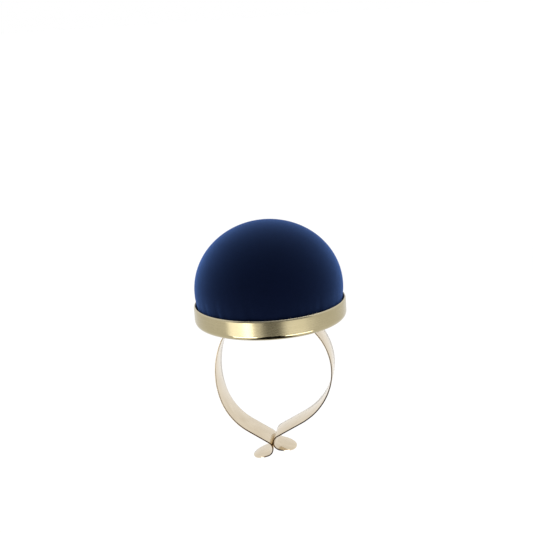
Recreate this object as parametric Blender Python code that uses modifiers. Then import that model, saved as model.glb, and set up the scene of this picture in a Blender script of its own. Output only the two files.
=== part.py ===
"""Wrist pin cushion: a fabric dome in a shallow gilt cup, riveted to a sprung wrist band.

Metres, +Z up.  The origin is the middle of the band's flat underside, where the wrist
sits; the dome points up and the band's loop hangs below in the XZ plane.
"""
import math

import bmesh
import bpy

# Clearances and sampling
GAP = 0.0003
ROUND_STEPS = 48
SMALL_STEPS = 16
MERGE = 0.00001
BAND_STEP_DEG = 9.0
SMALL_ARC_STEP_DEG = 18.0
PLAIN_RUN_STEP = 0.005

# Drawn metal cup
CUP_RADIUS = 0.033
CUP_DEPTH = 0.0086
CUP_WALL = 0.0005
CUP_CORNER = 0.0022
CUP_FLOOR_RING = 0.012
LIP_ROLL = 0.0009
LIP_INSET = 0.0005

# Fabric dome
DOME_RADIUS = 0.0322
DOME_RISE = 0.0293
DOME_CENTRE_ABOVE_LIP = 0.0056
FABRIC_THICKNESS = 0.0007
HEM_FOLD = 0.0014
HEM_REACH = 0.0118
DISC_THICKNESS = 0.0015
THREAD_RADIUS = 0.00025

# Sprung band
BAND_WIDTH = 0.015
BAND_THICKNESS = 0.0005
FLEX_DEG = 30.0
MIDDLE_PANEL = 0.003
TIP_ROUND = 0.0072
LEFT_ARM = {
    "side": -1, "flat": 0.0098, "root": (0.0130, 65.0), "shoulder": (0.0380, 41.0),
    "lower": (0.0263, 41.5), "run": 0.01045, "curl": (0.0035, 132.0), "tip": 0.0075,
}
RIGHT_ARM = {
    "side": 1, "flat": 0.0120, "root": (0.0085, 44.0), "shoulder": (0.0263, 67.0),
    "lower": (0.0287, 40.0), "run": 0.01285, "curl": (0.0034, 140.0), "tip": 0.0067,
}

# Rivets and washers
RIVET_OFFSET = 0.006
SHANK_RADIUS = 0.0009
RIVET_HEAD_RADIUS = 0.0021
RIVET_HEAD_HEIGHT = 0.0004
CLENCH_RADIUS = 0.0017
CLENCH_HEIGHT = 0.0006
WASHER_RADIUS = 0.0032
WASHER_THICKNESS = 0.0005
HOLE_RADIUS = SHANK_RADIUS + GAP
SEAT_RADIUS = 0.0025
SEAT_DEPTH = 0.00015

# Levels, from the wrist upwards
BAND_MID_Z = BAND_THICKNESS / 2
CUP_UNDER_Z = BAND_THICKNESS + GAP
CUP_FLOOR_Z = CUP_UNDER_Z + CUP_WALL
LIP_Z = CUP_UNDER_Z + CUP_DEPTH
WASHER_Z = CUP_FLOOR_Z + GAP
CLENCH_Z = WASHER_Z + WASHER_THICKNESS + GAP
HEM_Z = CLENCH_Z + CLENCH_HEIGHT + 0.0006
DISC_Z = HEM_Z + FABRIC_THICKNESS + GAP
STUFFING_Z = DISC_Z + DISC_THICKNESS + GAP
DOME_CENTRE_Z = LIP_Z + DOME_CENTRE_ABOVE_LIP

GILT = (0.69, 0.60, 0.36)
POLISHED_GILT = (0.83, 0.74, 0.60)
NAVY = (0.006, 0.020, 0.090)
WADDING = (0.86, 0.84, 0.78)
GREYBOARD = (0.47, 0.44, 0.38)


def clear_scene():
    for old in list(bpy.data.objects):
        bpy.data.objects.remove(old, do_unlink=True)


def new_collection(name):
    collection = bpy.data.collections.new(name)
    bpy.context.scene.collection.children.link(collection)
    return collection


def new_material(name, colour, roughness, metallic=0.0):
    material = bpy.data.materials.new(name)
    material.use_nodes = True
    shader = material.node_tree.nodes["Principled BSDF"]
    shader.inputs["Base Color"].default_value = (*colour, 1.0)
    shader.inputs["Roughness"].default_value = roughness
    shader.inputs["Metallic"].default_value = metallic
    return material


def add_object(name, mesh, material, collection):
    piece = bpy.data.objects.new(name, mesh)
    if material:
        piece.data.materials.append(material)
    collection.objects.link(piece)
    return piece


def walk(x, z, heading_deg, moves, step_deg=BAND_STEP_DEG):
    """Follow straights (None, length) and arcs (radius, signed degrees); list the points."""
    points = [(x, z)]
    heading = math.radians(heading_deg)
    for radius, amount in moves:
        if radius is None:
            steps = max(1, round(amount / PLAIN_RUN_STEP))
            for _ in range(steps):
                x += amount / steps * math.cos(heading)
                z += amount / steps * math.sin(heading)
                points.append((x, z))
            continue
        steps = max(2, math.ceil(abs(amount) / step_deg))
        turn = math.radians(amount) / steps
        chord = 2 * radius * math.sin(abs(turn) / 2)
        for _ in range(steps):
            x += chord * math.cos(heading + turn / 2)
            z += chord * math.sin(heading + turn / 2)
            heading += turn
            points.append((x, z))
    return points


def turned(name, profile, steps, material, collection, closed=False):
    """Spin an (radius, z) outline about Z; it runs down its outer side, top to bottom."""
    mesh = bpy.data.meshes.new(name)
    edges = [(i, i + 1) for i in range(len(profile) - 1)]
    if closed:
        edges.append((len(profile) - 1, 0))
    mesh.from_pydata([(r, 0.0, z) for r, z in profile], edges, [])
    piece = add_object(name, mesh, material, collection)
    screw = piece.modifiers.new("Spin", "SCREW")
    screw.steps = steps
    screw.render_steps = steps
    screw.use_merge_vertices = True
    screw.merge_threshold = MERGE
    screw.use_smooth_shade = True
    return piece


def add_shell(piece, thickness, offset):
    shell = piece.modifiers.new("Shell", "SOLIDIFY")
    shell.thickness = thickness
    shell.offset = offset
    shell.use_even_offset = True


def drill(piece, cutters):
    for cutter in cutters:
        cut = piece.modifiers.new(f"Hole for {cutter.name}", "BOOLEAN")
        cut.operation = "DIFFERENCE"
        cut.object = cutter


def make_hole_cutters(collection):
    """One cutter a rivet: a hole through band and cup, and a coined seat for the head."""
    profile = [
        (0.0, 0.004), (HOLE_RADIUS, 0.004), (HOLE_RADIUS, SEAT_DEPTH),
        (SEAT_RADIUS, SEAT_DEPTH), (SEAT_RADIUS, -0.002), (0.0, -0.002),
    ]
    cutters = []
    for side in (-1, 1):
        cutter = turned("hole_cutter", profile, SMALL_STEPS, None, collection)
        cutter.location.x = side * RIVET_OFFSET
        cutter.hide_render = True
        cutter.display_type = "WIRE"
        cutters.append(cutter)
    return cutters


def make_cup(material, collection, cutters):
    """Outer face from the rolled-in lip down the wall, round the corner and across the floor."""
    roll = math.degrees(math.acos(1 - LIP_INSET / LIP_ROLL))
    wall = CUP_DEPTH - LIP_ROLL * math.sin(math.radians(roll)) - CUP_CORNER
    floor_run = CUP_RADIUS - CUP_CORNER - CUP_FLOOR_RING
    moves = [(LIP_ROLL, -roll), (None, wall), (CUP_CORNER, -90.0), (None, floor_run)]
    profile = walk(CUP_RADIUS - LIP_INSET, LIP_Z, roll - 90.0, moves, SMALL_ARC_STEP_DEG)
    profile.append((0.0, CUP_UNDER_Z))
    cup = turned("cup", profile, ROUND_STEPS, material, collection)
    add_shell(cup, CUP_WALL, -1.0)
    drill(cup, cutters)


def dome_outline(inset, low_z, points=13):
    """The dome's half outline, moved in by inset, from the apex down to low_z."""
    across = DOME_RADIUS - inset
    rise = DOME_RISE - inset
    end = math.asin((low_z - DOME_CENTRE_Z) / rise)
    angles = [math.pi / 2 + (end - math.pi / 2) * i / points for i in range(points + 1)]
    outline = [(across * math.cos(a), DOME_CENTRE_Z + rise * math.sin(a)) for a in angles]
    outline[0] = (0.0, outline[0][1])
    slope = math.degrees(math.atan2(-rise * math.cos(end), across * math.sin(end)))
    return outline, slope


def make_fabric_cover(material, collection):
    """Dome skin, tucked into the cup and turned under the board as a gathered hem."""
    fold_start = HEM_Z + HEM_FOLD * 0.63
    outline, heading = dome_outline(0.0, fold_start)
    turn = -(180.0 + heading)
    hem = walk(*outline[-1], heading, [(HEM_FOLD, turn)], SMALL_ARC_STEP_DEG)
    hem.append((hem[-1][0] - HEM_REACH, hem[-1][1]))
    cover = turned("fabric_cover", outline + hem[1:], ROUND_STEPS, material, collection)
    add_shell(cover, FABRIC_THICKNESS, -1.0)
    return hem[-1]


def make_stuffing(material, collection):
    outline, _ = dome_outline(FABRIC_THICKNESS + 2 * GAP, STUFFING_Z, points=10)
    outline.append((0.0, STUFFING_Z))
    turned("stuffing", outline, ROUND_STEPS // 2, material, collection)


def make_backing_disc(material, collection):
    outline, _ = dome_outline(FABRIC_THICKNESS + 2 * GAP, DISC_Z + DISC_THICKNESS)
    radius = outline[-1][0] - HEM_FOLD / 2
    top = DISC_Z + DISC_THICKNESS
    profile = [(0.0, top), (radius, top), (radius, DISC_Z), (0.0, DISC_Z)]
    turned("backing_disc", profile, ROUND_STEPS, material, collection)


def make_gather_thread(hem_end, material, collection):
    """Drawn-up thread that closes the hem, lying just under its inner edge."""
    radius = hem_end[0] + 4 * THREAD_RADIUS
    bpy.ops.mesh.primitive_torus_add(
        major_radius=radius, minor_radius=THREAD_RADIUS, major_segments=40, minor_segments=6,
        location=(0.0, 0.0, hem_end[1] - GAP - THREAD_RADIUS))
    ring = bpy.context.object
    ring.name = "gather_thread"
    ring.data.materials.append(material)
    ring.data.shade_smooth()
    for owner in list(ring.users_collection):
        owner.objects.unlink(ring)
    collection.objects.link(ring)


def strip_surface(stations, half_widths):
    """Open surface through (x, z) stations, as wide there as half_widths says."""
    shape = bmesh.new()
    last = len(stations) - 1
    bmesh.ops.create_grid(shape, x_segments=last, y_segments=2, size=1.0)
    for vert in shape.verts:
        i = round((vert.co.x + 1) / 2 * last)
        vert.co = (stations[i][0], vert.co.y * half_widths[i], stations[i][1])
    bmesh.ops.remove_doubles(shape, verts=shape.verts, dist=MERGE)
    mesh = bpy.data.meshes.new("strip")
    shape.to_mesh(mesh)
    shape.free()
    mesh.shade_smooth()
    return mesh


def root_moves(arm):
    """The bend that the saddle keeps, up to where the arm starts to flex."""
    radius, _ = arm["root"]
    return [(radius, -FLEX_DEG)]


def flex_point(arm):
    """Where the arm's hinge axis crosses the band, as (x, z) on that arm's own side."""
    return walk(arm["flat"], BAND_MID_Z, 0.0, root_moves(arm))[-1]


def arm_stations(arm):
    """Middle line of one arm from its flex point to its tip, as drawn on the +X side."""
    radius, degrees = arm["root"]
    slit = math.degrees(GAP / radius)
    start = walk(arm["flat"], BAND_MID_Z, 0.0, [(radius, -(FLEX_DEG + slit))])[-1]
    moves = [
        (radius, FLEX_DEG + slit - degrees),
        (arm["shoulder"][0], -arm["shoulder"][1]),
        (arm["lower"][0], -arm["lower"][1]),
        (None, arm["run"]),
        arm["curl"],
        (None, arm["tip"]),
    ]
    return walk(*start, -(FLEX_DEG + slit), moves)


def rounded_end(stations):
    """Respace the last stretch so that the tip closes in a full round of TIP_ROUND."""
    lengths = [0.0]
    for (x0, z0), (x1, z1) in zip(stations, stations[1:]):
        lengths.append(lengths[-1] + math.hypot(x1 - x0, z1 - z0))
    total = lengths[-1]
    straight = [i for i, s in enumerate(lengths) if s < total - TIP_ROUND - 0.0005]
    kept = [stations[i] for i in straight]
    widths = [BAND_WIDTH / 2] * len(kept)
    for i in range(8):
        angle = math.radians(90.0 * i / 7)
        kept.append(point_at(stations, lengths, total - TIP_ROUND * (1 - math.sin(angle))))
        widths.append(BAND_WIDTH / 2 * math.cos(angle))
    return kept, widths


def point_at(stations, lengths, distance):
    """The point a given distance along a line of stations."""
    i = max(k for k in range(len(lengths) - 1) if lengths[k] <= distance + MERGE)
    share = (distance - lengths[i]) / (lengths[i + 1] - lengths[i])
    (x0, z0), (x1, z1) = stations[i], stations[i + 1]
    return x0 + (x1 - x0) * share, z0 + (z1 - z0) * share


def make_arm(name, arm, material, collection):
    """One sprung arm, with its origin on the axis that it flexes about."""
    stations, widths = rounded_end(arm_stations(arm))
    hinge_x, hinge_z = flex_point(arm)
    local = [(arm["side"] * (x - hinge_x), z - hinge_z) for x, z in stations]
    piece = add_object(name, strip_surface(local, widths), material, collection)
    piece.location = (arm["side"] * hinge_x, 0.0, hinge_z)
    add_shell(piece, BAND_THICKNESS, 0.0)


def make_saddle(material, collection, cutters):
    """Flat middle of the band with the first part of both bends."""
    halves = []
    for arm in (LEFT_ARM, RIGHT_ARM):
        bend = walk(arm["flat"], BAND_MID_Z, 0.0, root_moves(arm))
        halves.append([(arm["side"] * x, z) for x, z in [(MIDDLE_PANEL, BAND_MID_Z)] + bend])
    stations = halves[0][::-1] + halves[1]
    surface = strip_surface(stations, [BAND_WIDTH / 2] * len(stations))
    saddle = add_object("band_saddle", surface, material, collection)
    add_shell(saddle, BAND_THICKNESS, 0.0)
    drill(saddle, cutters)


def make_fixings(rivet_material, washer_material, collection):
    """Two rivets through band and cup, each clenched over a washer on the cup's floor."""
    head_top = SEAT_DEPTH - GAP
    head_low = head_top - RIVET_HEAD_HEIGHT
    clench_top = CLENCH_Z + CLENCH_HEIGHT
    rivet_profile = [
        (0.0, clench_top), (CLENCH_RADIUS * 0.7, clench_top),
        (CLENCH_RADIUS, clench_top - CLENCH_HEIGHT / 2), (CLENCH_RADIUS, CLENCH_Z),
        (SHANK_RADIUS, CLENCH_Z), (SHANK_RADIUS, head_top), (RIVET_HEAD_RADIUS, head_top),
        (RIVET_HEAD_RADIUS * 0.8, head_low), (0.0, head_low),
    ]
    washer_top = WASHER_Z + WASHER_THICKNESS
    washer_profile = [
        (HOLE_RADIUS, washer_top), (WASHER_RADIUS, washer_top),
        (WASHER_RADIUS, WASHER_Z), (HOLE_RADIUS, WASHER_Z),
    ]
    for side, word in ((-1, "left"), (1, "right")):
        rivet = turned(f"rivet_{word}", rivet_profile, SMALL_STEPS, rivet_material, collection)
        washer = turned(f"washer_{word}", washer_profile, SMALL_STEPS, washer_material,
                        collection, closed=True)
        for piece in (rivet, washer):
            piece.location.x = side * RIVET_OFFSET


def build():
    clear_scene()
    parts = new_collection("wrist_pin_cushion")
    cutters = make_hole_cutters(new_collection("cutters"))
    gilt = new_material("gilt_cup", GILT, 0.35, 1.0)
    polished = new_material("polished_gilt", POLISHED_GILT, 0.15, 1.0)
    navy = new_material("navy_cloth", NAVY, 0.8)
    wadding = new_material("wadding", WADDING, 0.95)
    board = new_material("greyboard", GREYBOARD, 0.9)
    make_cup(gilt, parts, cutters)
    hem_end = make_fabric_cover(navy, parts)
    make_stuffing(wadding, parts)
    make_backing_disc(board, parts)
    make_gather_thread(hem_end, navy, parts)
    make_saddle(polished, parts, cutters)
    make_arm("band_arm_left", LEFT_ARM, polished, parts)
    make_arm("band_arm_right", RIGHT_ARM, polished, parts)
    make_fixings(polished, gilt, parts)


build()
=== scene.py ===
"""Looks of the wrist pin cushion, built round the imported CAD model.  Metres, +Z up."""
import math

import bmesh
import bpy
import numpy as np
from mathutils import Matrix, Vector, noise as noise_kit


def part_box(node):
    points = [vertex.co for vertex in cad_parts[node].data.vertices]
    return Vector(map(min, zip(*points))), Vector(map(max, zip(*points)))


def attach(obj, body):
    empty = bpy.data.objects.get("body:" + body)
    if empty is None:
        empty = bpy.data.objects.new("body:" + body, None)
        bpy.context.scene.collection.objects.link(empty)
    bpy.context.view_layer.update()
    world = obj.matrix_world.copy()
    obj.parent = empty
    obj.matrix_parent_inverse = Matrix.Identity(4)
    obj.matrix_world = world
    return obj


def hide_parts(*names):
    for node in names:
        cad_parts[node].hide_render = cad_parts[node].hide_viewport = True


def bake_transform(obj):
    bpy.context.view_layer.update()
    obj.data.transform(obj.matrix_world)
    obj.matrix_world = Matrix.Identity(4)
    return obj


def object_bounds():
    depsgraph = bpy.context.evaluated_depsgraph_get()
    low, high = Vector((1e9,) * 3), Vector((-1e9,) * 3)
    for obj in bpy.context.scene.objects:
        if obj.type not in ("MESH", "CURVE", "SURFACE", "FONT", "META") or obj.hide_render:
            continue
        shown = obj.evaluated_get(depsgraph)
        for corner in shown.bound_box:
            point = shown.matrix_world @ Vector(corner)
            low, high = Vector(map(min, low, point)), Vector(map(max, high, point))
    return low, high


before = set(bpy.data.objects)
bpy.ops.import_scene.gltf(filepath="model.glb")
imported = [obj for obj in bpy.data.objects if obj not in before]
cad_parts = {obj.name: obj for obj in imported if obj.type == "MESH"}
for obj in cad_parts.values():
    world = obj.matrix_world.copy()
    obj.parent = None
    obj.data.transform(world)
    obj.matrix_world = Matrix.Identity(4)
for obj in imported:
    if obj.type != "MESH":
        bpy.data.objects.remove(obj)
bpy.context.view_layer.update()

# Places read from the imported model
CUP_LOW, CUP_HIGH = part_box("cup")
COVER_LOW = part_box("fabric_cover")[0]
SADDLE_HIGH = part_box("band_saddle")[1]
RIVET_LOW, RIVET_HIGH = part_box("rivet_left")
WASHER_LOW, WASHER_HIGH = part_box("washer_left")
DISC_LOW, DISC_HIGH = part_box("backing_disc")
THREAD_LOW, THREAD_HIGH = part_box("gather_thread")
STUFFING_LOW, STUFFING_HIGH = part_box("stuffing")
LIP_Z = CUP_HIGH.z
CUP_RADIUS = CUP_HIGH.x

# Cup section
CUP_WALL = 0.0005
CUP_CORNER = 0.0022
LIP_ROLL = 0.0009
LIP_INSET = 0.0005
CUP_FLOOR_RING = 0.012
CUP_SEGMENTS = 192
CUP_ARC_STEP = 8.0

# Dome section.  The dome's outline ends above the cover's lowest point by HEM_LIFT times the
# fold's radius.
DOME_RADIUS = 0.0322
DOME_RISE = 0.0293
DOME_CENTRE_Z = LIP_Z + 0.0056
FABRIC_THICKNESS = 0.0007
HEM_FOLD = 0.0014
HEM_LIFT = 0.63
HEM_REACH = 0.0118
HEM_ARC_STEP = 12.0

# Band section and bends, as on the CAD model
BAND_WIDTH = 0.015
BAND_THICKNESS = 0.0005
BAND_MID_Z = SADDLE_HIGH.z - BAND_THICKNESS / 2
EDGE_ROUND = 0.00011
TIP_ROUND = 0.0072
PLAIN_STATIONS = 140
TIP_STATIONS = 24
FLEX_DEG = 30.0
LEFT_ARM = {
    "side": -1, "flat": 0.0098, "root": (0.0130, 65.0), "shoulder": (0.0380, 41.0),
    "lower": (0.0263, 41.5), "run": 0.01045, "curl": (0.0035, 132.0), "tip": 0.0075,
}
RIGHT_ARM = {
    "side": 1, "flat": 0.0120, "root": (0.0085, 44.0), "shoulder": (0.0263, 67.0),
    "lower": (0.0287, 40.0), "run": 0.01285, "curl": (0.0034, 140.0), "tip": 0.0067,
}

# Rivets and their coined seats
RIVET_OFFSET = 0.006
SHANK_RADIUS = 0.0009
HOLE_RADIUS = 0.0012
SEAT_RADIUS = 0.0025
SEAT_DEPTH = 0.00015
CUTTER_TOP, CUTTER_BOTTOM = 0.004, -0.002
CLENCH_HEIGHT = 0.0006
HEAD_BULGE = 0.30
HEAD_ARC = 62.0
WASHER_EASE = 0.00008

# Cloth
DOME_SEGMENTS = 240
DOME_STEPS = 48
PUCKER_HEIGHT = 0.00026
PUCKER_REACH = 0.010
HEM_PLEAT = 0.0002
CLOTH_CAP = 0.0012
CLOTH_FRAMES = 20
CLOTH_PRESSURE = 4.0
WEAVE_PITCH = 0.0004
SCALLOP_SEED = 7

# Inner pieces
LUMP_DEPTH = 0.0006
LUMP_SCALE = 140.0
BOARD_CRUSH = 0.00025
THREAD_LAY = 0.0011

# Colours, linear
GILT = (0.455, 0.395, 0.245)
GILT_DEEP = (0.385, 0.330, 0.195)
GILT_WORN = (0.56, 0.50, 0.35)
# Painted shade, near black, for the crevice at the cup lip's cut end
GILT_CREVICE_SHADE = (0.03, 0.024, 0.014)
PALE_GILT = (0.73, 0.63, 0.475)
PALE_GILT_DEEP = (0.62, 0.52, 0.375)
# Band edge colours: tarnish and painted reflection, pale high on the band and dark low down
PALE_EDGE_PAINTED_REFLECTION = (0.33, 0.27, 0.19)
DARK_EDGE_TARNISH_AND_REFLECTION = (0.045, 0.022, 0.006)
NAVY = (0.0008, 0.0019, 0.0110)
NAVY_DEEP = (0.0003, 0.0008, 0.0045)
WADDING = (0.80, 0.78, 0.72)
WADDING_DEEP = (0.60, 0.57, 0.50)
WADDING_PALE = (0.86, 0.84, 0.79)
BOARD = (0.42, 0.39, 0.34)
BOARD_DEEP = (0.27, 0.25, 0.22)
BOARD_PALE = (0.50, 0.47, 0.41)
THREAD = (0.006, 0.015, 0.06)
THREAD_DEEP = (0.003, 0.008, 0.03)
THREAD_PALE = (0.012, 0.028, 0.10)
FLOOR = (0.9, 0.9, 0.9)
WHITE = (1.0, 1.0, 1.0, 1.0)

# Surfaces.  BURNISH is the share of its roughness that the cup's bottom corner loses.  The
# band's edge is darkened as tarnish and painted reflection, going from pale to dark down the two
# heights, measured along a slant.
BRUSH_SCALE = 1500.0
LATHE_SCALE = 6000.0
BRASS_DULL = 0.75
BURNISH = 0.7
EDGE_TARNISH_REFLECTION_HEIGHTS = (-0.043, -0.020)
EDGE_TARNISH_REFLECTION_SLANT = 0.47
EDGE_TARNISH_REFLECTION_MARGIN = 0.0003
SHEEN = 0.73
SHEEN_ROUGHNESS = 0.45
SHEEN_TINT = (0.12, 0.26, 0.72)

# Camera: the photograph's viewing angle, seen from half a metre
CAMERA_AZIMUTH = 8.78
CAMERA_ELEVATION = 14.07
CAMERA_ROLL = 4.03
CAMERA_DISTANCE = 0.5
CAMERA_LENS = 77.83
CAMERA_LOOK_LEFT = 0.00134
CAMERA_LOOK_UP = 0.01423

# Studio.  Drops are below the object's lowest point; angles are from the camera's azimuth.
FLOOR_DROP = 0.8
FLOOR_REACH = 30.0
FLOOR_GLOW = 0.12
CARD_DROP = 0.2
# Flags: name, shade, and corners as (angle, distance, height), None being the card drop.
# A column for the cup's wall, a hood for its lip, and one lying under it.
CARDS = (
    ("front card", 0.12, ((-14, 0.9, None), (15, 0.9, None), (15, 0.9, 0.9), (-14, 0.9, 0.9))),
    ("hood card", 0.25, ((-60, 0.9, 0.12), (60, 0.9, 0.12), (75, 0.5, 0.9), (-75, 0.5, 0.9))),
    ("low card", 0.0, ((-10, 0.7, None), (-90, 0.1, None), (90, 0.1, None), (12, 0.7, None))),
)
# Lights low round the object: name, angle, distance, height, size, watts.
LIGHTS = (
    ("left box", -47, 0.8, -0.15, (0.55, 0.36), 1.05),
    ("left strip", -35, 0.7, -0.13, (0.16, 0.3), 0.35),
    ("right box", 37, 0.8, -0.15, (0.42, 0.36), 0.22),
    ("low left strip", -44, 0.5, -0.35, (0.36, 0.12), 0.95),
    ("low right strip", 44, 0.5, -0.35, (0.42, 0.12), 0.85),
)
TOP_LIGHT = ("top box", (0.1, 0.3, 0.9), (0.6, 0.6), 2.0)


# ---------------------------------------------------------------- mesh helpers
def walk(x, z, heading_deg, moves, step_deg=3.0, step_run=0.0012):
    """Follow straights (None, length) and arcs (radius, signed degrees); list the points."""
    points = [(x, z)]
    heading = math.radians(heading_deg)
    for radius, amount in moves:
        if radius is None:
            steps = max(1, math.ceil(amount / step_run))
            for _ in range(steps):
                x += amount / steps * math.cos(heading)
                z += amount / steps * math.sin(heading)
                points.append((x, z))
            continue
        steps = max(2, math.ceil(abs(amount) / step_deg))
        turn = math.radians(amount) / steps
        chord = 2 * radius * math.sin(abs(turn) / 2)
        for _ in range(steps):
            x += chord * math.cos(heading + turn / 2)
            z += chord * math.sin(heading + turn / 2)
            heading += turn
            points.append((x, z))
    return points


def object_from(name, mesh, material):
    """An object in the scene with one material, or none."""
    piece = bpy.data.objects.new(name, mesh)
    if material:
        piece.data.materials.append(material)
    bpy.context.scene.collection.objects.link(piece)
    return piece


def mesh_from(name, verts, faces):
    """A new mesh from points and faces."""
    mesh = bpy.data.meshes.new(name)
    mesh.from_pydata([tuple(v) for v in verts], [], faces)
    mesh.update()
    return mesh


def finish_mesh(mesh, sharp_deg=35.0):
    """Merge doubles, face outwards, smooth all but the sharp edges."""
    work = bmesh.new()
    work.from_mesh(mesh)
    bmesh.ops.remove_doubles(work, verts=work.verts, dist=1e-7)
    bmesh.ops.recalc_face_normals(work, faces=work.faces)
    work.to_mesh(mesh)
    work.free()
    mesh.shade_smooth()
    mesh.set_sharp_from_angle(angle=math.radians(sharp_deg))
    return mesh


def lathe(name, profile, segments, closed):
    """Spin (radius, z) points about Z.  Points on the axis become one vertex each."""
    verts = []
    rings = []
    for radius, z in profile:
        if radius < 1e-7:
            rings.append([len(verts)] * segments)
            verts.append((0.0, 0.0, z))
            continue
        rings.append(list(range(len(verts), len(verts) + segments)))
        for k in range(segments):
            angle = 2 * math.pi * k / segments
            verts.append((radius * math.cos(angle), radius * math.sin(angle), z))
    faces = []
    pairs = list(zip(rings, rings[1:]))
    if closed:
        pairs.append((rings[-1], rings[0]))
    for upper, lower in pairs:
        for k in range(segments):
            following = (k + 1) % segments
            corners = [upper[k], upper[following], lower[following], lower[k]]
            corners = list(dict.fromkeys(corners))
            if len(corners) > 2:
                faces.append(corners)
    return mesh_from(name, verts, faces)


def apply_modifiers(piece):
    """Freeze the evaluated mesh, so that the piece carries plain geometry."""
    graph = bpy.context.evaluated_depsgraph_get()
    mesh = bpy.data.meshes.new_from_object(piece.evaluated_get(graph))
    old = piece.data
    piece.modifiers.clear()
    piece.data = mesh
    bpy.data.meshes.remove(old)


def cut_holes(piece, places, seated=False):
    """Round rivet holes straight down through a piece, with a seat coined in its underside."""
    profile = [(0.0, CUTTER_TOP), (HOLE_RADIUS, CUTTER_TOP), (HOLE_RADIUS, CUTTER_BOTTOM),
               (0.0, CUTTER_BOTTOM)]
    if seated:
        profile[2:3] = [(HOLE_RADIUS, SEAT_DEPTH), (SEAT_RADIUS, SEAT_DEPTH),
                        (SEAT_RADIUS, CUTTER_BOTTOM)]
    cutters = []
    for x in places:
        mesh = finish_mesh(lathe("cutter", profile, 48, False))
        mesh.transform(Matrix.Translation((x, 0.0, 0.0)))
        cutters.append(object_from("cutter", mesh, None))
        cut = piece.modifiers.new("hole", "BOOLEAN")
        cut.operation = "DIFFERENCE"
        cut.object = cutters[-1]
    apply_modifiers(piece)
    for cutter in cutters:
        bpy.data.objects.remove(cutter)


# ---------------------------------------------------------------- materials
def principled(name, colour, roughness, metallic=0.0):
    """A new material, its node tree and its shader."""
    material = bpy.data.materials.new(name)
    material.use_nodes = True
    shader = material.node_tree.nodes["Principled BSDF"]
    shader.inputs["Base Color"].default_value = (*colour, 1.0)
    shader.inputs["Roughness"].default_value = roughness
    shader.inputs["Metallic"].default_value = metallic
    return material, material.node_tree, shader


def feed(tree, socket, value):
    """Link a socket to another, or set it to a plain value."""
    if isinstance(value, bpy.types.NodeSocket):
        tree.links.new(value, socket)
    else:
        socket.default_value = value


def maths(tree, operation, *values):
    """One Math node on sockets or plain numbers."""
    node = tree.nodes.new("ShaderNodeMath")
    node.operation = operation
    for socket, value in zip(node.inputs, values):
        feed(tree, socket, value)
    return node.outputs[0]


def vector(tree, x, y, z):
    """One vector from sockets or plain numbers."""
    node = tree.nodes.new("ShaderNodeCombineXYZ")
    for socket, value in zip(node.inputs, (x, y, z)):
        feed(tree, socket, value)
    return node.outputs[0]


def stretched(tree, parts, scales):
    """A texture place with each axis stretched by its own scale."""
    return vector(tree, *(maths(tree, "MULTIPLY", part, scale)
                          for part, scale in zip(parts, scales)))


def distance_out(tree, x, y):
    """Distance from the Z axis, never quite 0."""
    squares = maths(tree, "ADD", maths(tree, "MULTIPLY", x, x), maths(tree, "MULTIPLY", y, y))
    return maths(tree, "MAXIMUM", maths(tree, "SQRT", squares), 1e-5)


def blended(tree, first, share, second):
    """A share of the first value and the rest of the second."""
    return maths(tree, "ADD", maths(tree, "MULTIPLY", first, share),
                 maths(tree, "MULTIPLY", second, 1.0 - share))


def noise(tree, place, scale, detail=2.0, roughness=0.5, w=None):
    """Noise from 0 to 1 at a vector; with w, in four dimensions."""
    node = tree.nodes.new("ShaderNodeTexNoise")
    if w is not None:
        node.noise_dimensions = "4D"
        feed(tree, node.inputs["W"], w)
    feed(tree, node.inputs["Vector"], place)
    node.inputs["Scale"].default_value = scale
    node.inputs["Detail"].default_value = detail
    node.inputs["Roughness"].default_value = roughness
    return node.outputs["Fac"]


def spread(tree, value, low, high, start=0.0, end=1.0):
    """Map start..end onto low..high, held at both ends."""
    node = tree.nodes.new("ShaderNodeMapRange")
    feed(tree, node.inputs["Value"], value)
    node.inputs["From Min"].default_value = start
    node.inputs["From Max"].default_value = end
    node.inputs["To Min"].default_value = low
    node.inputs["To Max"].default_value = high
    return node.outputs["Result"]


def mix_colour(tree, share, first, second):
    """From the first colour to the second; each is a tuple or a socket."""
    node = tree.nodes.new("ShaderNodeMix")
    node.data_type = "RGBA"
    feed(tree, node.inputs["Factor"], share)
    sides = [socket for socket in node.inputs if socket.type == "RGBA"]
    for socket, colour in zip(sides, (first, second)):
        feed(tree, socket, (*colour, 1.0) if isinstance(colour, tuple) else colour)
    return [socket for socket in node.outputs if socket.type == "RGBA"][0]


def paint(tree, shader, tone, dark, light, start, end):
    """Base colour from dark to light as the tone goes from start to end."""
    share = spread(tree, tone, 0.0, 1.0, start, end)
    tree.links.new(mix_colour(tree, share, dark, light), shader.inputs["Base Color"])


def bump(tree, shader, height, strength, distance):
    """Relief in the shader's normal, from a height."""
    node = tree.nodes.new("ShaderNodeBump")
    node.inputs["Strength"].default_value = strength
    node.inputs["Distance"].default_value = distance
    tree.links.new(height, node.inputs["Height"])
    tree.links.new(node.outputs["Normal"], shader.inputs["Normal"])


def object_place(tree):
    """Object coordinates, whole and as x, y, z."""
    source = tree.nodes.new("ShaderNodeTexCoord").outputs["Object"]
    split = tree.nodes.new("ShaderNodeSeparateXYZ")
    tree.links.new(source, split.inputs[0])
    return source, *split.outputs


def lathe_grain(tree, shader):
    """Gloss drawn out round the Z axis, as brushing in a lathe leaves it."""
    shader.inputs["Anisotropic"].default_value = 0.55
    shader.inputs["Anisotropic Rotation"].default_value = 0.25
    tangent = tree.nodes.new("ShaderNodeTangent")
    tangent.direction_type = "RADIAL"
    tangent.axis = "Z"
    tree.links.new(tangent.outputs[0], shader.inputs["Tangent"])


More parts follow.
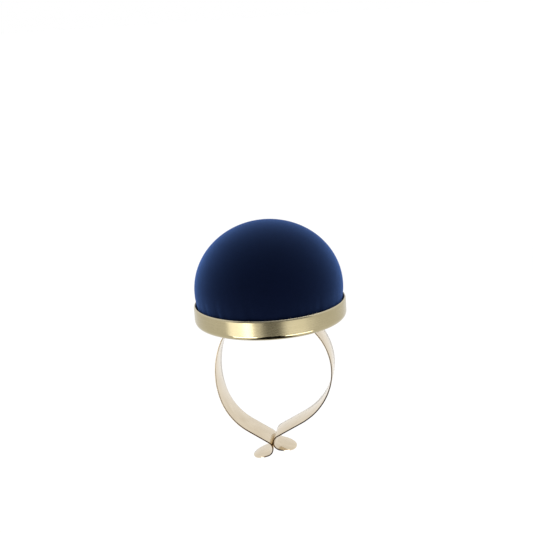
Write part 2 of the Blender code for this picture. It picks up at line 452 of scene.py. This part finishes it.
def cup_roughness(tree, radius, z, tone, worn):
    """Lower where the lip is worn, and lower still round the burnished bottom corner."""
    rough = spread(tree, tone, 0.21, 0.31, 0.3, 0.7)
    rough = maths(tree, "SUBTRACT", rough, maths(tree, "MULTIPLY", worn, 0.06))
    low = spread(tree, z, BURNISH, 0.0, CUP_LOW.z + CUP_CORNER * 0.8,
                 CUP_LOW.z + CUP_CORNER * 1.3)
    outer = spread(tree, radius, 0.0, 1.0, CUP_RADIUS - CUP_CORNER * 2,
                   CUP_RADIUS - CUP_CORNER)
    kept = maths(tree, "SUBTRACT", 1.0, maths(tree, "MULTIPLY", low, outer))
    return maths(tree, "MULTIPLY", rough, kept)


def satin_gilt():
    """Drawn cup: gilt brushed round and round, paler on the worn lip, with painted shade on its
    cut end in the crevice under the cloth.
    """
    material, tree, shader = principled("satin gilt", GILT, 0.3, 1.0)
    place, x, y, z = object_place(tree)
    radius = distance_out(tree, x, y)
    brushed = vector(tree, maths(tree, "DIVIDE", x, radius), maths(tree, "DIVIDE", y, radius),
                     maths(tree, "MULTIPLY", z, BRUSH_SCALE))
    lines = noise(tree, brushed, 3.0, 3.0, 0.6, w=maths(tree, "MULTIPLY", radius, BRUSH_SCALE))
    cloud = noise(tree, place, 120.0, 3.0)
    tone = blended(tree, lines, 0.6, cloud)
    base = mix_colour(tree, spread(tree, tone, 0.0, 1.0, 0.3, 0.7), GILT_DEEP, GILT)
    worn = spread(tree, z, 0.0, 1.0, LIP_Z - 0.0007, LIP_Z - 0.0001)
    lip = mix_colour(tree, worn, base, GILT_WORN)
    # Painted shade: the lip's cut end, in the crevice where the cloth meets it, is coloured near
    # black.
    inside = maths(tree, "LESS_THAN", radius, CUP_RADIUS - LIP_INSET - 0.00002)
    crevice_shade = maths(tree, "MULTIPLY", inside, maths(tree, "GREATER_THAN", z, LIP_Z - 0.001))
    tree.links.new(mix_colour(tree, crevice_shade, lip, GILT_CREVICE_SHADE), shader.inputs["Base Color"])
    tree.links.new(cup_roughness(tree, radius, z, tone, worn), shader.inputs["Roughness"])
    lathe_grain(tree, shader)
    bump(tree, shader, lines, 0.25, 0.00001)
    return material


def polished_gilt():
    """Rolled strip: pale gilt with faint lines along it, a little haze, and edges darkened with
    tarnish and painted reflection.
    """
    material, tree, shader = principled("polished gilt", PALE_GILT, 0.12, 1.0)
    place, x, y, z = object_place(tree)
    lines = noise(tree, stretched(tree, (x, y, z), (45.0, 5000.0, 45.0)), 1.0, 3.0, 0.6)
    haze = noise(tree, place, 160.0, 4.0, 0.55)
    scuffs = noise(tree, stretched(tree, (x, y, z), (900.0, 260.0, 900.0)), 1.0, 2.0)
    tone = blended(tree, lines, 0.4, haze)
    face = mix_colour(tree, spread(tree, tone, 0.0, 1.0, 0.35, 0.65),
                      PALE_GILT_DEEP, PALE_GILT)
    # The band's edge: tarnish and painted reflection, pale high up and darker lower down along a
    # slant.
    rim = spread(tree, maths(tree, "ABSOLUTE", y), 0.0, 1.0,
                 BAND_WIDTH / 2 - EDGE_TARNISH_REFLECTION_MARGIN, BAND_WIDTH / 2 - EDGE_ROUND)
    slant = maths(tree, "SUBTRACT", z, maths(tree, "MULTIPLY", x, EDGE_TARNISH_REFLECTION_SLANT))
    edge = mix_colour(tree, spread(tree, slant, 1.0, 0.0, *EDGE_TARNISH_REFLECTION_HEIGHTS),
                      PALE_EDGE_PAINTED_REFLECTION, DARK_EDGE_TARNISH_AND_REFLECTION)
    tree.links.new(mix_colour(tree, rim, face, edge), shader.inputs["Base Color"])
    marks = maths(tree, "MULTIPLY", spread(tree, scuffs, 0.0, 1.0, 0.62, 0.75), 0.08)
    tree.links.new(maths(tree, "ADD", spread(tree, tone, 0.09, 0.2, 0.35, 0.65), marks),
                   shader.inputs["Roughness"])
    bump(tree, shader, lines, 0.12, 0.000005)
    return material


def turned_brass(name, colour):
    """Small turned fixings: fine rings from the lathe, dulled in patches."""
    material, tree, shader = principled(name, colour, 0.25, 1.0)
    place, x, y, z = object_place(tree)
    away = maths(tree, "SUBTRACT", maths(tree, "ABSOLUTE", x), RIVET_OFFSET)
    radius = distance_out(tree, away, y)
    rings = noise(tree, vector(tree, maths(tree, "MULTIPLY", radius, LATHE_SCALE),
                               maths(tree, "MULTIPLY", z, LATHE_SCALE), 0.0), 1.0, 2.0)
    dull = noise(tree, place, 900.0, 3.0)
    paint(tree, shader, dull, tuple(c * BRASS_DULL for c in colour), colour, 0.35, 0.65)
    tree.links.new(spread(tree, dull, 0.34, 0.18, 0.3, 0.7), shader.inputs["Roughness"])
    bump(tree, shader, rings, 0.2, 0.00001)
    return material


def weave(tree, u, v, pitch):
    """Plain weave from two surface directions: its height, 0 to 1."""
    wave_u = maths(tree, "SINE", maths(tree, "MULTIPLY", u, math.pi / pitch))
    wave_v = maths(tree, "SINE", maths(tree, "MULTIPLY", v, math.pi / pitch))
    over = maths(tree, "GREATER_THAN", maths(tree, "MULTIPLY", wave_u, wave_v), 0.0)
    across_u, across_v = maths(tree, "ABSOLUTE", wave_u), maths(tree, "ABSOLUTE", wave_v)
    warp = maths(tree, "MULTIPLY", maths(tree, "POWER", across_u, 0.5),
                 maths(tree, "POWER", across_v, 1.5))
    weft = maths(tree, "MULTIPLY", maths(tree, "POWER", across_v, 0.5),
                 maths(tree, "POWER", across_u, 1.5))
    return maths(tree, "ADD", maths(tree, "MULTIPLY", over, warp),
                 maths(tree, "MULTIPLY", maths(tree, "SUBTRACT", 1.0, over), weft))


def cloth_directions(tree, x, y, z, level):
    """Distances over the dome from its crown, along the two ways of the weave."""
    angle = maths(tree, "ARCTAN2", level, maths(tree, "SUBTRACT", z, DOME_CENTRE_Z))
    reach = maths(tree, "DIVIDE", maths(tree, "MULTIPLY", angle, DOME_RADIUS), level)
    return maths(tree, "MULTIPLY", x, reach), maths(tree, "MULTIPLY", y, reach)


def slubs(tree, u, v):
    """Thick and thin places along the threads, both ways."""
    warp = noise(tree, vector(tree, maths(tree, "MULTIPLY", u, 2500.0),
                              maths(tree, "MULTIPLY", v, 60.0), 0.0), 1.0, 2.0)
    weft = noise(tree, vector(tree, maths(tree, "MULTIPLY", u, 60.0),
                              maths(tree, "MULTIPLY", v, 2500.0), 3.0), 1.0, 2.0)
    return maths(tree, "MULTIPLY", maths(tree, "ADD", warp, weft), 0.5)


def drawn_folds(tree, x, y, z, level):
    """Fine folds running down to the lip, fading out above the puckers."""
    turns = [maths(tree, "MULTIPLY", maths(tree, "DIVIDE", part, level), 16.0)
             for part in (x, y)]
    folds = noise(tree, vector(tree, *turns, maths(tree, "MULTIPLY", z, 60.0)), 1.0, 3.0, 0.6)
    near_lip = spread(tree, z, 4.0, 0.0, LIP_Z, LIP_Z + 0.8 * PUCKER_REACH)
    return maths(tree, "MULTIPLY", folds, near_lip)


def navy_cloth():
    """Close plain weave laid flat over the crown and drawn down all round, with a soft nap."""
    material, tree, shader = principled("navy cloth", NAVY, 0.75)
    place, x, y, z = object_place(tree)
    level = distance_out(tree, x, y)
    u, v = cloth_directions(tree, x, y, z, level)
    threads = weave(tree, u, v, WEAVE_PITCH)
    uneven = slubs(tree, u, v)
    nap = noise(tree, place, 90.0, 4.0, 0.6)
    tone = maths(tree, "ADD", maths(tree, "MULTIPLY", threads, 0.35),
                 maths(tree, "ADD", maths(tree, "MULTIPLY", uneven, 0.35),
                       maths(tree, "MULTIPLY", nap, 0.3)))
    paint(tree, shader, tone, NAVY_DEEP, NAVY, 0.25, 0.75)
    tree.links.new(spread(tree, tone, 0.85, 0.62, 0.25, 0.75), shader.inputs["Roughness"])
    shader.inputs["Specular IOR Level"].default_value = 0.02
    shader.inputs["Sheen Weight"].default_value = SHEEN
    shader.inputs["Sheen Roughness"].default_value = SHEEN_ROUGHNESS
    shader.inputs["Sheen Tint"].default_value = (*SHEEN_TINT, 1.0)
    relief = maths(tree, "ADD", threads, maths(tree, "MULTIPLY", uneven, 0.6))
    relief = maths(tree, "ADD", relief, drawn_folds(tree, x, y, z, level))
    bump(tree, shader, relief, 0.45, 0.00004)
    return material


def wadding_fibre():
    """Packed white wadding: soft clumps with fine crossing fibres."""
    material, tree, shader = principled("wadding", WADDING, 0.95)
    place = object_place(tree)[0]
    clumps = noise(tree, place, 180.0, 5.0, 0.65)
    fibres = noise(tree, place, 2600.0, 4.0, 0.75)
    tone = blended(tree, clumps, 0.6, fibres)
    paint(tree, shader, tone, WADDING_DEEP, WADDING_PALE, 0.3, 0.7)
    tree.links.new(spread(tree, fibres, 0.85, 1.0), shader.inputs["Roughness"])
    shader.inputs["Sheen Weight"].default_value = 0.3
    bump(tree, shader, tone, 0.6, 0.0003)
    return material


def grey_board():
    """Pressed board: speckled pulp, with its layers showing at the edge."""
    material, tree, shader = principled("grey board", BOARD, 0.9)
    place, x, y, z = object_place(tree)
    pulp = noise(tree, place, 700.0, 5.0, 0.7)
    layers = noise(tree, stretched(tree, (x, y, z), (80.0, 80.0, 5000.0)), 1.0, 2.0)
    tone = blended(tree, pulp, 0.7, layers)
    paint(tree, shader, tone, BOARD_DEEP, BOARD_PALE, 0.35, 0.65)
    tree.links.new(spread(tree, pulp, 0.8, 0.98), shader.inputs["Roughness"])
    bump(tree, shader, tone, 0.4, 0.00008)
    return material


def twisted_thread():
    """Waxed polyester thread: fine filaments of uneven tone and gloss."""
    material, tree, shader = principled("navy thread", THREAD, 0.55)
    place = object_place(tree)[0]
    filaments = noise(tree, place, 9000.0, 3.0, 0.6)
    tree.links.new(mix_colour(tree, filaments, THREAD_DEEP, THREAD_PALE),
                   shader.inputs["Base Color"])
    tree.links.new(spread(tree, filaments, 0.4, 0.7), shader.inputs["Roughness"])
    shader.inputs["Sheen Weight"].default_value = 0.2
    bump(tree, shader, filaments, 0.4, 0.00002)
    return material


# ---------------------------------------------------------------- pieces
def cup_section():
    """Closed section of the drawn shell: rolled lip, wall, rounded corner and flat floor."""
    roll = math.degrees(math.acos(1 - LIP_INSET / LIP_ROLL))
    depth = CUP_HIGH.z - CUP_LOW.z
    wall = depth - LIP_ROLL * math.sin(math.radians(roll)) - CUP_CORNER
    run = CUP_RADIUS - CUP_CORNER - CUP_FLOOR_RING
    into = math.radians(90 - roll)
    faces = []
    for inset in (0.0, CUP_WALL):
        moves = [(LIP_ROLL - inset, -roll), (None, wall), (CUP_CORNER - inset, -90.0),
                 (None, run)]
        line = walk(CUP_RADIUS - LIP_INSET - inset * math.cos(into),
                    LIP_Z - inset * math.sin(into), roll - 90.0, moves, CUP_ARC_STEP)
        faces.append(line + [(0.0, CUP_LOW.z + inset)])
    outer, inner = faces
    return outer + inner[::-1]


def make_cup(material):
    """The whole cup, with its two rivet holes."""
    mesh = finish_mesh(lathe("cup_shell", cup_section(), CUP_SEGMENTS, True))
    cup = object_from("cup_shell", mesh, material)
    cut_holes(cup, [-RIVET_OFFSET, RIVET_OFFSET])
    cup.data.set_sharp_from_angle(angle=math.radians(35.0))
    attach(cup, "head")
    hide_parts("cup")


def dome_outline(points):
    """The dome's outer half outline down to where it folds under the board, and its slope."""
    low = COVER_LOW.z + HEM_FOLD * HEM_LIFT
    end = math.asin((low - DOME_CENTRE_Z) / DOME_RISE)
    angles = [math.pi / 2 + (end - math.pi / 2) * i / points for i in range(points + 1)]
    outline = [(DOME_RADIUS * math.cos(a), DOME_CENTRE_Z + DOME_RISE * math.sin(a))
               for a in angles]
    outline[0] = (0.0, outline[0][1])
    slope = math.degrees(math.atan2(-DOME_RISE * math.cos(end), DOME_RADIUS * math.sin(end)))
    return outline, slope


def scallops(count, seed):
    """Uneven waves round the ring, from -1 to 1, as gathered cloth makes them."""
    source = np.random.default_rng(seed)
    angles = np.linspace(0.0, 2 * math.pi, count, endpoint=False)
    total = np.zeros(count)
    for waves in (9, 14, 21, 27, 34, 43, 52):
        total += source.uniform(0.3, 1.0) * np.cos(waves * angles + source.uniform(0, 6.28))
    patches = 0.55 + 0.45 * np.cos(2 * angles + source.uniform(0, 6.28))
    return total / np.abs(total).max() * patches


def ring_grid(outline, segments):
    """Points of an outline spun about Z, as an array: rings, segments, x y z."""
    angles = np.linspace(0.0, 2 * math.pi, segments, endpoint=False)
    rings = np.array(outline)
    return np.stack([rings[:, :1] * np.cos(angles), rings[:, :1] * np.sin(angles),
                     np.repeat(rings[:, 1:], segments, axis=1)], axis=2)


def grid_mesh(name, grid, crown):
    """Mesh through a ring grid, closed at the top by one crown point."""
    rings, segments, _ = grid.shape
    verts = [tuple(crown)] + [tuple(p) for p in grid.reshape(-1, 3)]
    faces = [(0, 1 + k, 1 + (k + 1) % segments) for k in range(segments)]
    for i in range(rings - 1):
        for k in range(segments):
            following = (k + 1) % segments
            faces.append((1 + i * segments + k, 1 + (i + 1) * segments + k,
                          1 + (i + 1) * segments + following, 1 + i * segments + following))
    return mesh_from(name, verts, faces)


def blow_up(grid, crown, held):
    """Cloth simulation of the ring grid, pinned from ring held down; the new points."""
    work = object_from("cloth", grid_mesh("cloth", grid, crown), None)
    start = 1 + held * grid.shape[1]
    group = work.vertex_groups.new(name="held")
    group.add(list(range(start, len(work.data.vertices))), 1.0, "REPLACE")
    cloth = work.modifiers.new("cloth", "CLOTH")
    cloth.settings.quality = 6
    cloth.settings.mass = 0.15
    cloth.settings.tension_stiffness = 12.0
    cloth.settings.compression_stiffness = 12.0
    cloth.settings.bending_stiffness = 0.4
    cloth.settings.use_pressure = True
    cloth.settings.uniform_pressure_force = CLOTH_PRESSURE
    cloth.settings.vertex_group_mass = "held"
    cloth.settings.effector_weights.gravity = 0.0
    scene = bpy.context.scene
    for number in range(1, CLOTH_FRAMES + 1):
        scene.frame_set(number)
    graph = bpy.context.evaluated_depsgraph_get()
    result = work.evaluated_get(graph).to_mesh()
    places = np.empty(len(result.vertices) * 3)
    result.vertices.foreach_get("co", places)
    bpy.data.objects.remove(work)
    scene.frame_set(1)
    return places.reshape(-1, 3)[1:].reshape(grid.shape)


def cloth_grid(outline):
    """The dome's cloth: puckered where the cup grips it, drawn smooth by its stuffing."""
    grid = ring_grid(outline[1:], DOME_SEGMENTS)
    crown = (0.0, 0.0, outline[0][1])
    heights = grid[:, 0, 2]
    gripped = np.clip((LIP_Z + PUCKER_REACH - heights) / PUCKER_REACH, 0.0, 1.0) ** 1.5
    waves = scallops(DOME_SEGMENTS, SCALLOP_SEED)
    waves = np.where(waves < 0.0, 2.0 * waves, waves) * PUCKER_HEIGHT
    level = np.hypot(grid[..., 0], grid[..., 1])
    shift = 1 + waves[None, :] * gripped[:, None] / level
    grid[..., :2] *= shift[..., None]
    held = int(np.argmax(heights < LIP_Z + 0.001))
    return follow(grid, blow_up(grid, crown, held)), crown


def follow(grid, blown):
    """The grid with the simulated cloth's unevenness round each ring, capped."""
    centre = np.array([0.0, 0.0, DOME_CENTRE_Z])
    before = np.linalg.norm(grid - centre, axis=2)
    after = np.linalg.norm(blown - centre, axis=2)
    uneven = after - after.mean(axis=1, keepdims=True)
    wanted = before.mean(axis=1, keepdims=True) + np.clip(uneven, -CLOTH_CAP, CLOTH_CAP)
    return centre + (grid - centre) * (wanted / before)[..., None]


def hem_grid(outline, heading):
    """The cloth from the dome's foot: folded under the board and pleated as it is drawn in."""
    hem = walk(*outline[-1], heading, [(HEM_FOLD, -(180.0 + heading)), (None, HEM_REACH)],
               HEM_ARC_STEP)
    tucked = ring_grid(hem[1:], DOME_SEGMENTS)
    pleats = scallops(DOME_SEGMENTS, SCALLOP_SEED)
    level = np.hypot(tucked[..., 0], tucked[..., 1])
    depth = np.clip((level.max() - level) / (level.max() - level.min()), 0.0, 1.0)
    tucked[..., 2] += HEM_PLEAT * depth * (pleats[None, :] - 1.0)
    return tucked


def make_dome(material):
    """The cushion's cover, from its crown to the drawn hem, as cloth with a thickness."""
    outline, heading = dome_outline(DOME_STEPS)
    grid, crown = cloth_grid(outline)
    whole = np.concatenate([grid, hem_grid(outline, heading)])
    mesh = finish_mesh(grid_mesh("cushion_cover", whole, crown))
    dome = object_from("cushion_cover", mesh, material)
    shell = dome.modifiers.new("cloth thickness", "SOLIDIFY")
    shell.thickness = FABRIC_THICKNESS
    shell.offset = -1.0
    apply_modifiers(dome)
    dome.data.shade_smooth()
    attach(dome, "head")
    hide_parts("fabric_cover")


def strip_section(half_width):
    """Rounded section of the strip as (across, out) pairs, anticlockwise."""
    half = BAND_THICKNESS / 2
    r = min(EDGE_ROUND, half_width * 0.8)
    corners = []
    for across, out, start in ((half_width - r, half - r, 0), (r - half_width, half - r, 90),
                               (r - half_width, r - half, 180), (half_width - r, r - half, 270)):
        for k in range(4):
            a = math.radians(start + 30 * k)
            corners.append((across + r * math.cos(a), out + r * math.sin(a)))
    return corners


def band_line(arm):
    """Middle line of half the band, on the +X side, from the middle of the saddle to the tip."""
    moves = [
        (None, arm["flat"]),
        (arm["root"][0], -arm["root"][1]),
        (arm["shoulder"][0], -arm["shoulder"][1]),
        (arm["lower"][0], -arm["lower"][1]),
        (None, arm["run"]),
        (arm["curl"][0], arm["curl"][1]),
        (None, arm["tip"]),
    ]
    return walk(0.0, BAND_MID_Z, 0.0, moves)


def resample(points, distances):
    """Points at given distances along a line, and its direction there."""
    line = np.array(points)
    lengths = np.r_[0.0, np.cumsum(np.hypot(*np.diff(line, axis=0).T))]
    x = np.interp(distances, lengths, line[:, 0])
    z = np.interp(distances, lengths, line[:, 1])
    ahead = np.minimum(np.array(distances) + 0.0002, lengths[-1])
    behind = np.maximum(np.array(distances) - 0.0002, 0.0)
    dx = np.interp(ahead, lengths, line[:, 0]) - np.interp(behind, lengths, line[:, 0])
    dz = np.interp(ahead, lengths, line[:, 1]) - np.interp(behind, lengths, line[:, 1])
    size = np.hypot(dx, dz)
    return np.c_[x, z], np.c_[dx / size, dz / size]


def band_stations(total):
    """Distances along half the band, closing up towards the rounded tip."""
    tip = [total - TIP_ROUND * (1 - math.sin(math.radians(90 * i / TIP_STATIONS)))
           for i in range(1, TIP_STATIONS)]
    tip.append(total - TIP_ROUND * 0.0005)
    return np.r_[np.linspace(0.0, total - TIP_ROUND, PLAIN_STATIONS), tip]


def make_band_half(name, arm, material):
    """Half the band, from the middle of the saddle to its tip, as one swept strip."""
    line = band_line(arm)
    total = float(np.sum(np.hypot(*np.diff(np.array(line), axis=0).T)))
    distances = band_stations(total)
    places, along = resample(line, distances)
    side = arm["side"]
    verts = []
    faces = []
    count = len(strip_section(BAND_WIDTH / 2))
    for i, (place, heading) in enumerate(zip(places, along)):
        into = max(0.0, distances[i] - (total - TIP_ROUND)) / TIP_ROUND
        half_width = BAND_WIDTH / 2 * math.sqrt(max(1 - into * into, 0.0004))
        out = (-heading[1], heading[0])
        for across, offset in strip_section(half_width):
            verts.append((side * (place[0] + out[0] * offset), across,
                          place[1] + out[1] * offset))
    for i in range(len(places) - 1):
        for k in range(count):
            a, b = i * count + k, i * count + (k + 1) % count
            faces.append((a, b, b + count, a + count))
    faces.append(tuple(range(count)))
    faces.append(tuple(range((len(places) - 1) * count, len(places) * count)))
    return object_from(name, finish_mesh(mesh_from(name, verts, faces), 50.0), material)


def flex_point(arm):
    """Where an arm starts to flex, once its root bend has turned by FLEX_DEG."""
    x, z = walk(arm["flat"], BAND_MID_Z, 0.0, [(arm["root"][0], -FLEX_DEG)])[-1]
    return Vector((arm["side"] * x, 0.0, z))


def make_band(material):
    """Two halves that meet in the middle of the saddle, each with a seated rivet hole."""
    for name, arm, body in (("band_left", LEFT_ARM, "left_arm"),
                            ("band_right", RIGHT_ARM, "right_arm")):
        half = make_band_half(name, arm, material)
        side = arm["side"]
        cut_holes(half, [side * RIVET_OFFSET], seated=True)
        half.data.set_sharp_from_angle(angle=math.radians(50.0))
        start = flex_point(arm)
        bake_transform(half)
    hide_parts("band_saddle", "band_arm_left")
    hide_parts("band_saddle", "band_arm_right")


def inner_piece(name, mesh, material, node, sharp_deg=35.0):
    """A piece on the head that stands for one CAD node."""
    piece = object_from(name, finish_mesh(mesh, sharp_deg), material)
    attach(piece, "head")
    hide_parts(node)
    return piece


def make_stuffing(material):
    """Packed wadding, lumpy inwards from the outline that the cloth gives it."""
    top, low, across = STUFFING_HIGH.z, STUFFING_LOW.z, STUFFING_HIGH.x
    rise = top - DOME_CENTRE_Z
    end = math.asin((low - DOME_CENTRE_Z) / rise)
    outline = [(0.0, top)]
    outline += [(across * math.cos(a), DOME_CENTRE_Z + rise * math.sin(a))
                for a in np.linspace(math.pi / 2, end, 30)[1:]]
    outline += [(outline[-1][0] * share, low) for share in (0.96, 0.85, 0.7, 0.5, 0.3, 0.12)]
    outline.append((0.0, low))
    mesh = lathe("stuffing_wadding", outline, 96, False)
    middle = Vector((0.0, 0.0, (top + low) / 2))
    for vert in mesh.vertices:
        lump = noise_kit.fractal(vert.co * LUMP_SCALE, 0.7, 2.0, 4)
        inward = (middle - vert.co).normalized()
        vert.co += inward * LUMP_DEPTH * min(1.0, max(0.0, 0.5 + lump))
    piece = inner_piece("stuffing_wadding", mesh, material, "stuffing", 180.0)


def make_board(material):
    """Punched board disc with a crushed edge."""
    r, low, top = DISC_HIGH.x, DISC_LOW.z, DISC_HIGH.z
    ease = BOARD_CRUSH * 0.3
    profile = [(0.0, top), (r * 0.6, top), (r - BOARD_CRUSH, top), (r - ease, top - ease),
               (r, top - BOARD_CRUSH), (r, low + BOARD_CRUSH), (r - ease, low + ease),
               (r - BOARD_CRUSH, low), (r * 0.6, low), (0.0, low)]
    inner_piece("board_disc", lathe("board_disc", profile, 128, False), material,
                "backing_disc")


def make_thread(material):
    """Two plies twisted together, drawn up in a ring under the hem."""
    thickness = THREAD_HIGH.z - THREAD_LOW.z
    middle_r = THREAD_HIGH.x - thickness / 2
    middle_z = (THREAD_HIGH.z + THREAD_LOW.z) / 2
    ply = thickness / 4
    twists = round(2 * math.pi * middle_r / THREAD_LAY)
    stations, sides = twists * 8, 6
    verts, faces = [], []
    for strand in range(2):
        first = len(verts)
        for i in range(stations):
            way = 2 * math.pi * i / stations
            turn = 2 * math.pi * twists * i / stations + math.pi * strand
            r = middle_r + ply * math.cos(turn)
            z = middle_z + ply * math.sin(turn)
            for k in range(sides):
                a = turn + 2 * math.pi * k / sides
                radius = r + ply * math.cos(a)
                verts.append((radius * math.cos(way), radius * math.sin(way),
                              z + ply * math.sin(a)))
        # The section turns once with each twist, so the last ring meets the first in step.
        for i in range(stations):
            for k in range(sides):
                a, b = first + i * sides, first + (i + 1) % stations * sides
                faces.append((a + k, b + k, b + (k + 1) % sides, a + (k + 1) % sides))
    inner_piece("drawn_thread", mesh_from("drawn_thread", verts, faces), material,
                "gather_thread")


def rivet_profile():
    """Half section from the clenched end, down the shank, to the domed head in its seat."""
    low, top = RIVET_LOW.z, RIVET_HIGH.z
    head = (RIVET_HIGH.y - RIVET_LOW.y) / 2
    seat = SEAT_DEPTH - 0.00003
    clench = top - CLENCH_HEIGHT
    dome = [(head * math.sin(a), low + head * HEAD_BULGE * (1 - math.cos(a)))
            for a in np.linspace(0.0, math.radians(HEAD_ARC), 8)]
    clenched = [(0.0, top - 0.00035), (0.0005, top - 0.0003), (0.0009, top - 0.00008),
                (0.0011, top), (0.0014, top - 0.00006), (0.00165, top - 0.00025),
                (0.0017, top - 0.0004), (0.0016, clench + 0.00006), (0.0014, clench)]
    shank = [(SHANK_RADIUS, clench), (SHANK_RADIUS, seat), (head - 0.00012, seat),
             (head, seat - 0.00012), (head, dome[-1][1] + 0.0001)]
    return clenched + shank + dome[::-1]


def washer_profile():
    """Closed section of a punched washer with eased edges."""
    half = (WASHER_HIGH.y - WASHER_LOW.y) / 2
    low, top, ease = WASHER_LOW.z, WASHER_HIGH.z, WASHER_EASE
    return [(HOLE_RADIUS, top - ease), (HOLE_RADIUS + ease, top), (half - 2 * ease, top),
            (half, top - 2 * ease), (half, low + ease), (half - ease, low), (HOLE_RADIUS, low)]


def make_fixings(rivet_material, washer_material):
    """Domed rivet heads in their seats, clenched over washers on the cup's floor."""
    for side, word in ((-1, "left"), (1, "right")):
        move = Matrix.Translation((side * RIVET_OFFSET, 0.0, 0.0))
        rivet = lathe(f"band_rivet_{word}", rivet_profile(), 48, False)
        rivet.transform(move)
        inner_piece(f"band_rivet_{word}", rivet, rivet_material, f"rivet_{word}")
        ring = lathe(f"floor_washer_{word}", washer_profile(), 64, True)
        ring.transform(move)
        inner_piece(f"floor_washer_{word}", ring, washer_material, f"washer_{word}")


# ---------------------------------------------------------------- stage
def make_camera():
    """The photograph's viewing angle, looking just above the middle of the cup's lip."""
    azimuth, elevation = math.radians(CAMERA_AZIMUTH), math.radians(CAMERA_ELEVATION)
    back = Vector((math.sin(azimuth) * math.cos(elevation),
                   -math.cos(azimuth) * math.cos(elevation), math.sin(elevation)))
    turn = (-back).to_track_quat("-Z", "Y").to_matrix()
    turn = turn @ Matrix.Rotation(math.radians(-CAMERA_ROLL), 3, "Z")
    target = Vector((0.0, 0.0, LIP_Z))
    target += turn @ Vector((-CAMERA_LOOK_LEFT, CAMERA_LOOK_UP, 0.0))
    data = bpy.data.cameras.new("camera")
    data.lens = CAMERA_LENS
    data.clip_start = 0.01
    data.clip_end = 100.0
    camera = bpy.data.objects.new("camera", data)
    camera.matrix_world = Matrix.Translation(target + back * CAMERA_DISTANCE) @ turn.to_4x4()
    bpy.context.scene.collection.objects.link(camera)
    bpy.context.scene.camera = camera


def area_light(name, place, size, power):
    """A rectangle of light turned to the object, and unseen by the camera."""
    data = bpy.data.lights.new(name, "AREA")
    data.shape = "RECTANGLE"
    data.size, data.size_y = size
    data.energy = power
    light = bpy.data.objects.new(name, data)
    light.location = place
    light.rotation_euler = (-Vector(place)).to_track_quat("-Z", "Y").to_euler()
    light.visible_camera = False
    bpy.context.scene.collection.objects.link(light)


def around(turn_deg, distance, z):
    """A place round the object, turned to the right of the camera's azimuth."""
    a = math.radians(CAMERA_AZIMUTH + turn_deg)
    return (distance * math.sin(a), -distance * math.cos(a), z)


def dark_card(name, shade, corners):
    """A flag that only reflections see."""
    mesh = mesh_from(name, corners, [(0, 1, 2, 3)])
    card = object_from(name, mesh, principled(name, (shade, shade, shade), 1.0)[0])
    card.visible_camera = False
    card.visible_diffuse = False
    card.visible_shadow = False


def make_floor(floor_z):
    """Plain pale floor that glows a little, to stay as bright as the world."""
    far = FLOOR_REACH
    mesh = mesh_from("floor", [(-far, -far, floor_z), (far, -far, floor_z), (far, far, floor_z),
                               (-far, far, floor_z)], [(0, 1, 2, 3)])
    material, _, shader = principled("pale floor", FLOOR, 0.9)
    shader.inputs["Emission Color"].default_value = WHITE
    shader.inputs["Emission Strength"].default_value = FLOOR_GLOW
    object_from("floor", mesh, material)


def make_stage():
    """Even white world, pale floor, dark flags and soft boxes."""
    world = bpy.data.worlds.new("studio")
    world.use_nodes = True
    background = world.node_tree.nodes["Background"]
    background.inputs["Color"].default_value = WHITE
    background.inputs["Strength"].default_value = 1.0
    bpy.context.scene.world = world
    bpy.context.scene.view_settings.view_transform = "Standard"
    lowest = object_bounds()[0].z
    make_floor(lowest - FLOOR_DROP)
    for name, shade, corners in CARDS:
        dark_card(name, shade, [around(turn, out, lowest - CARD_DROP if z is None else z)
                                for turn, out, z in corners])
    for name, turn, distance, z, size, power in LIGHTS:
        area_light(name, around(turn, distance, z), size, power)
    area_light(*TOP_LIGHT)


make_camera()
make_cup(satin_gilt())
make_dome(navy_cloth())
make_band(polished_gilt())
make_stuffing(wadding_fibre())
make_board(grey_board())
make_thread(twisted_thread())
make_fixings(turned_brass("rivet gilt", PALE_GILT), turned_brass("washer brass", GILT))
make_stage()
